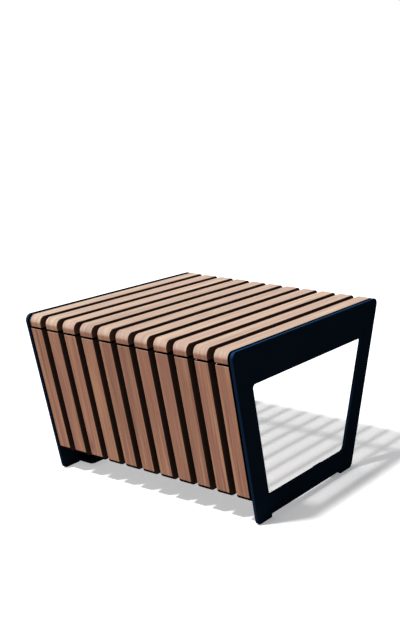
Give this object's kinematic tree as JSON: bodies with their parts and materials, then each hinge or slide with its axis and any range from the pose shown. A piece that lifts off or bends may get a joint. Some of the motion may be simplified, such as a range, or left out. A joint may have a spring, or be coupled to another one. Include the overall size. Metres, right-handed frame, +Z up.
{
  "type": "slatted stool",
  "caption": "Low outdoor stool: timber slats across the top and down the leaning front, screwed to steel angles between two painted side plates with wide windows.",
  "frame": {"origin": "on the floor under the middle of the stool", "axes": "+X across the stool from the left plate to the right one as seen from the slatted front, +Y along the top slats from the slatted front to the open back, +Z up"},
  "size_m": [0.632, 0.6962, 0.45],
  "materials": {
    "frame_paint": "satin dark navy powder coat with a fine texture",
    "slat_timber": "planed pinkish-brown timber with a thin matt oil",
    "screw_steel": "zinc-plated steel"
  },
  "bodies": {
    "root": {"left_side_plate": "frame_paint", "right_side_plate": "frame_paint", "left_anchor_lug": "frame_paint", "right_anchor_lug": "frame_paint", "seat_rail_front": "frame_paint", "seat_rail_rear": "frame_paint", "front_rail_upper": "frame_paint", "front_rail_lower": "frame_paint", "seat_rail_front_screws": "screw_steel", "seat_rail_rear_screws": "screw_steel", "front_rail_upper_screws": "screw_steel", "front_rail_lower_screws": "screw_steel", "top_slat_01": "slat_timber", "top_slat_02": "slat_timber", "top_slat_03": "slat_timber", "top_slat_04": "slat_timber", "top_slat_05": "slat_timber", "top_slat_06": "slat_timber", "top_slat_07": "slat_timber", "top_slat_08": "slat_timber", "top_slat_09": "slat_timber", "top_slat_10": "slat_timber", "top_slat_11": "slat_timber", "front_slat_01": "slat_timber", "front_slat_02": "slat_timber", "front_slat_03": "slat_timber", "front_slat_04": "slat_timber", "front_slat_05": "slat_timber", "front_slat_06": "slat_timber", "front_slat_07": "slat_timber", "front_slat_08": "slat_timber", "front_slat_09": "slat_timber", "front_slat_10": "slat_timber", "front_slat_11": "slat_timber"}
  },
  "joints": []
}
